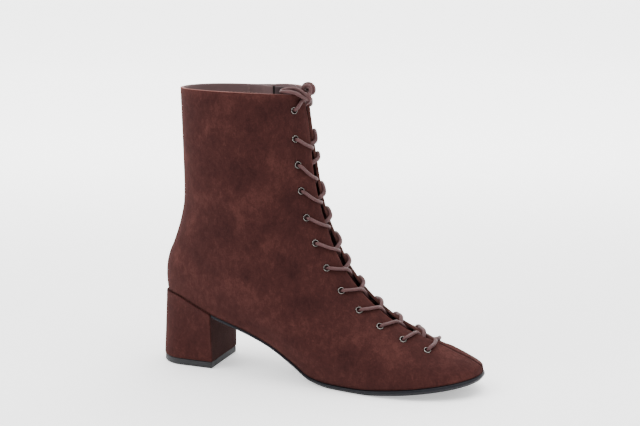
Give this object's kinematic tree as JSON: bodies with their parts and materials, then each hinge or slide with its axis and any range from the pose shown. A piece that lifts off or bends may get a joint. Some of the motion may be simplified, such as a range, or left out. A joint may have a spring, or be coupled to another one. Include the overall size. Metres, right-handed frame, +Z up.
{
  "type": "lace-up ankle boot",
  "caption": "Right suede ankle boot with a covered block heel, almond toe, front lacing through metal eyelets and an inside zip; worn on the foot.",
  "frame": {"origin": "middle of the boot's box, on the floor", "axes": "+X from heel to toe, +Y to the inner side of the foot, +Z up"},
  "size_m": [0.2568, 0.0764, 0.2215],
  "materials": {
    "suede": "matt nap",
    "heel_suede": "matt nap",
    "outsole_rubber": "satin",
    "top_lift_rubber": "matt",
    "insole_leather": "smooth",
    "tongue_leather": "smooth",
    "waxed_cord": "waxed",
    "gunmetal": "polished",
    "zip_tape": "woven",
    "zip_metal": "polished"
  },
  "bodies": {
    "boot": {"outsole": "outsole_rubber", "top_lift": "top_lift_rubber", "heel": "heel_suede", "upper": "suede", "insole": "insole_leather", "tongue": "tongue_leather", "eyelet_lateral_01": "gunmetal", "eyelet_lateral_02": "gunmetal", "eyelet_lateral_03": "gunmetal", "eyelet_lateral_04": "gunmetal", "eyelet_lateral_05": "gunmetal", "eyelet_lateral_06": "gunmetal", "eyelet_lateral_07": "gunmetal", "eyelet_lateral_08": "gunmetal", "eyelet_lateral_09": "gunmetal", "eyelet_lateral_10": "gunmetal", "eyelet_lateral_11": "gunmetal", "eyelet_lateral_12": "gunmetal", "eyelet_medial_01": "gunmetal", "eyelet_medial_02": "gunmetal", "eyelet_medial_03": "gunmetal", "eyelet_medial_04": "gunmetal", "eyelet_medial_05": "gunmetal", "eyelet_medial_06": "gunmetal", "eyelet_medial_07": "gunmetal", "eyelet_medial_08": "gunmetal", "eyelet_medial_09": "gunmetal", "eyelet_medial_10": "gunmetal", "eyelet_medial_11": "gunmetal", "eyelet_medial_12": "gunmetal", "lace_cross_02": "waxed_cord", "lace_cross_03": "waxed_cord", "lace_cross_04": "waxed_cord", "lace_cross_05": "waxed_cord", "lace_cross_06": "waxed_cord", "lace_cross_07": "waxed_cord", "lace_cross_08": "waxed_cord", "lace_cross_09": "waxed_cord", "lace_cross_10": "waxed_cord", "lace_cross_11": "waxed_cord", "lace_bar": "waxed_cord", "lace_knot": "waxed_cord", "lace_loop_ring": "waxed_cord", "lace_loop_rim": "waxed_cord", "lace_end_lateral": "waxed_cord", "lace_end_medial": "waxed_cord", "zip_chain": "zip_tape", "zip_slider": "zip_metal"},
    "pull": {"zip_pull": "zip_metal"}
  },
  "joints": [
    {"name": "zip_pull_swing", "type": "hinge", "parent": "boot", "child": "pull", "pos_m": [-0.04748, 0.03662, 0.20685], "axis": [0.9837, -0.1799, 0], "range_deg": [0, 150]}
  ]
}
